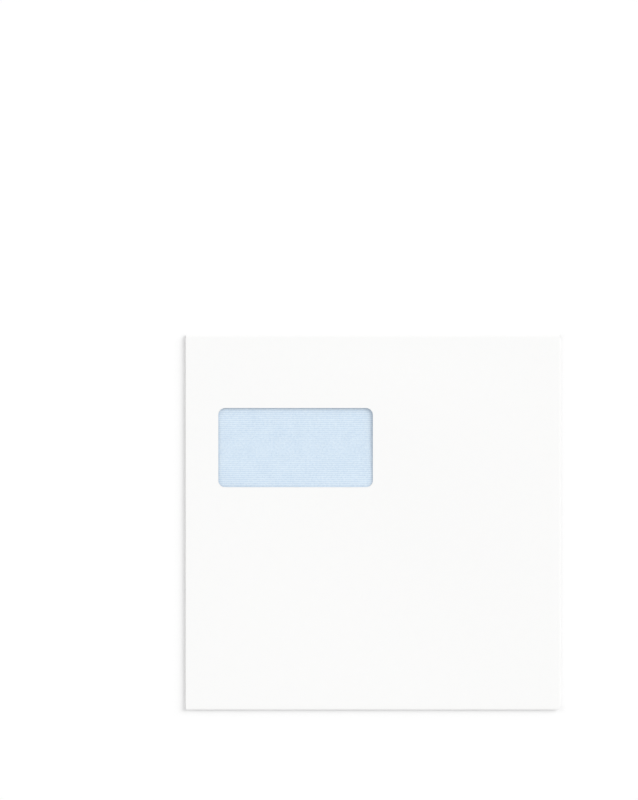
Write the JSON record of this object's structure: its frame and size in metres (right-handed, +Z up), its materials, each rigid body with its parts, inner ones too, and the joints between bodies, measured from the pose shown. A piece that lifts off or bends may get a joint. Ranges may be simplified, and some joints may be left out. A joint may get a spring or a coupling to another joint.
{
  "type": "window envelope",
  "caption": "Square white envelope of folded paper with a rounded rectangular film window in its front and a wide seal flap folded behind.",
  "frame": {"origin": "middle of the envelope's outline, on the surface it lies on, under its back", "axes": "+X across the front to the right as it is read, +Y up the front towards the seal flap's fold, +Z up out of the front"},
  "size_m": [0.22, 0.22, 0.0022],
  "materials": {
    "white_paper": "smooth uncoated white offset paper, with a pale blue security tint of fine lines printed on the inside",
    "clear_film": "thin clear glossy window film",
    "dried_glue": "dried white paper adhesive",
    "dried_gum": "dried remoistenable gum, faintly glossy"
  },
  "bodies": {
    "root": {"paper_sheet": "white_paper", "window_film": "clear_film", "window_glue": "dried_glue", "seam_glue_left": "dried_glue", "seam_glue_right": "dried_glue", "flap_gum": "dried_gum"}
  },
  "joints": []
}
